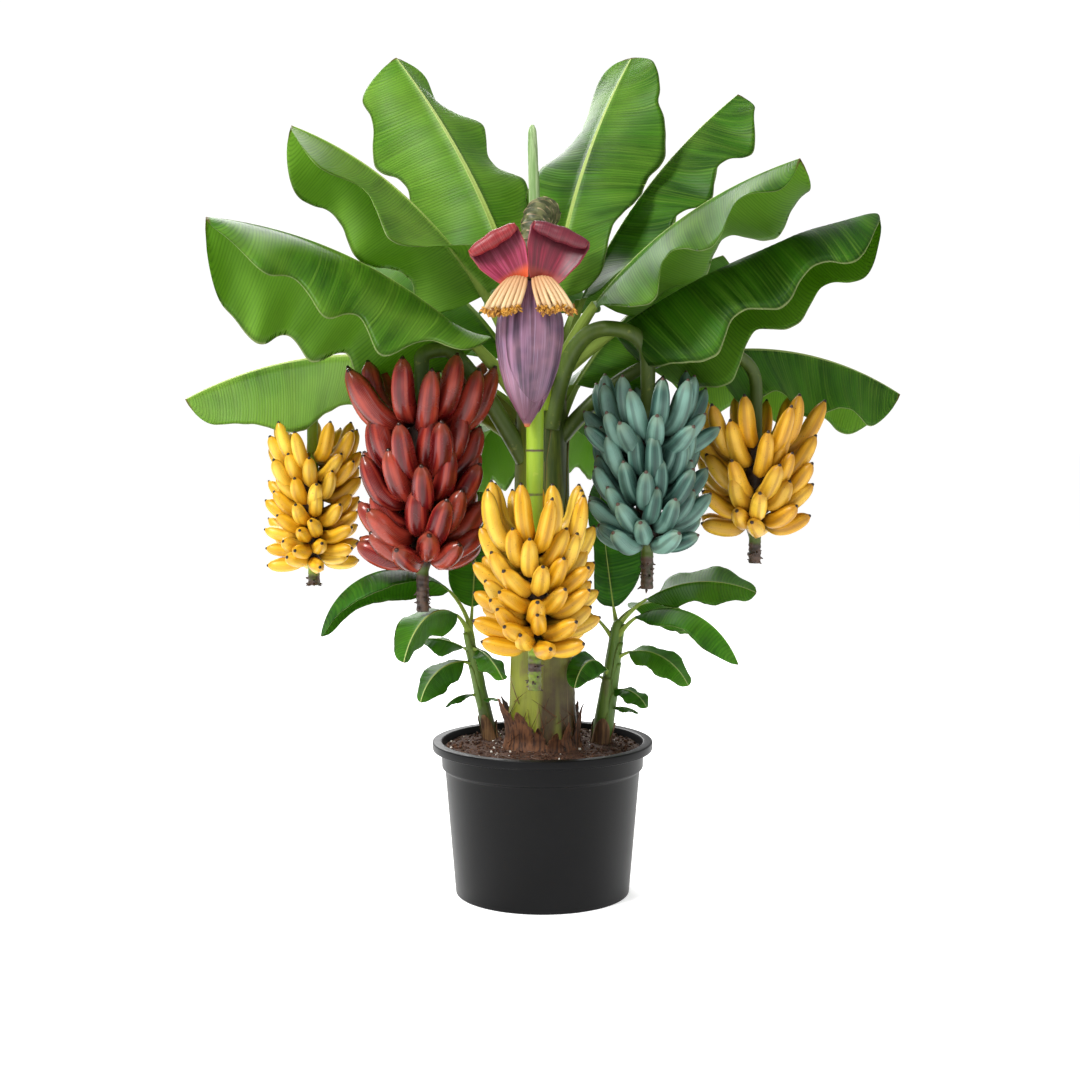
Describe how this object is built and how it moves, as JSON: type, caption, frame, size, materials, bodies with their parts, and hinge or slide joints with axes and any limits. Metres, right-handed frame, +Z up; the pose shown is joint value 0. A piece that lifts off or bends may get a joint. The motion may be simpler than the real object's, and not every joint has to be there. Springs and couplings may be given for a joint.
{
  "type": "potted banana plant",
  "caption": "Dwarf banana plant in a round black nursery pot, with arching broad leaves, hanging bunches of fruit in several colours, a drooping flower bud and young suckers.",
  "frame": {"origin": "centre of the flat underside of the pot, on the floor", "axes": "+Z up along the stem, -Y towards the front of the plant where the flower bud and the front bunch hang, +X to the right seen from the front"},
  "size_m": [1.1696, 0.7722, 1.3439],
  "materials": {
    "pot_plastic": "satin moulded nursery pot",
    "potting_soil": "damp granular compost",
    "main_stem": "smooth sheaths over dry husks",
    "sucker_stem": "smooth",
    "flower_stalk": "smooth, scaled near the bud",
    "bunch_stalk": "smooth waxy",
    "fruit_yellow": "satin peel",
    "fruit_red": "satin peel",
    "fruit_blue_green": "waxy bloom on peel",
    "fruit_golden": "satin peel",
    "fruit_deep_yellow": "satin peel",
    "flower_bud": "waxy bloom",
    "flower": "soft matt",
    "bract": "leathery satin",
    "rolled_leaf": "smooth",
    "leaf": "glossy upper face, paler under",
    "leaf_stalk": "smooth channelled",
    "sucker_leaf": "glossy upper face, paler under"
  },
  "bodies": {
    "root": {"pot": "pot_plastic", "potting_soil": "potting_soil", "main_stem": "main_stem", "sucker_left_stem": "sucker_stem", "sucker_right_stem": "sucker_stem", "flower_stalk_rising": "flower_stalk", "flower_stalk_hanging": "flower_stalk", "bunch_front_stalk_rising": "bunch_stalk", "bunch_front_stalk_hanging": "bunch_stalk", "bunch_red_stalk_rising": "bunch_stalk", "bunch_red_stalk_hanging": "bunch_stalk", "bunch_blue_stalk_rising": "bunch_stalk", "bunch_blue_stalk_hanging": "bunch_stalk", "bunch_gold_right_stalk_rising": "bunch_stalk", "bunch_gold_right_stalk_hanging": "bunch_stalk", "bunch_yellow_left_stalk_rising": "bunch_stalk", "bunch_yellow_left_stalk_hanging": "bunch_stalk", "bunch_front": "fruit_yellow", "bunch_red": "fruit_red", "bunch_blue": "fruit_blue_green", "bunch_gold_right": "fruit_golden", "bunch_yellow_left": "fruit_deep_yellow", "flower_bud": "flower_bud", "flower_hand_left": "flower", "flower_hand_right": "flower", "bract_left": "bract", "bract_right": "bract", "rolled_leaf": "rolled_leaf", "leaf_upper_left": "leaf", "leaf_upper_right": "leaf", "leaf_left_high": "leaf", "leaf_left_middle": "leaf", "leaf_left_low_stalk": "leaf_stalk", "leaf_left_low": "leaf", "leaf_right_rear": "leaf", "leaf_right_high": "leaf", "leaf_right_middle": "leaf", "leaf_right_low_stalk": "leaf_stalk", "leaf_right_low": "leaf", "leaf_rear_left": "leaf", "leaf_rear_right": "leaf", "leaf_rear_high_stalk": "leaf_stalk", "leaf_rear_high": "leaf", "leaf_rear_low_left_stalk": "leaf_stalk", "leaf_rear_low_left": "leaf", "leaf_rear_low_right_stalk": "leaf_stalk", "leaf_rear_low_right": "leaf", "sucker_left_leaf_long": "sucker_leaf", "sucker_left_leaf_nodding": "sucker_leaf", "sucker_left_leaf_hidden": "sucker_leaf", "sucker_left_leaf_broad": "sucker_leaf", "sucker_left_leaf_inner": "sucker_leaf", "sucker_left_leaf_upright": "sucker_leaf", "sucker_right_leaf_upright": "sucker_leaf", "sucker_right_leaf_spreading": "sucker_leaf", "sucker_right_leaf_long": "sucker_leaf", "sucker_right_leaf_bright": "sucker_leaf", "sucker_right_leaf_broad": "sucker_leaf", "sucker_right_leaf_small": "sucker_leaf", "sucker_right_leaf_inner": "sucker_leaf"}
  },
  "joints": []
}
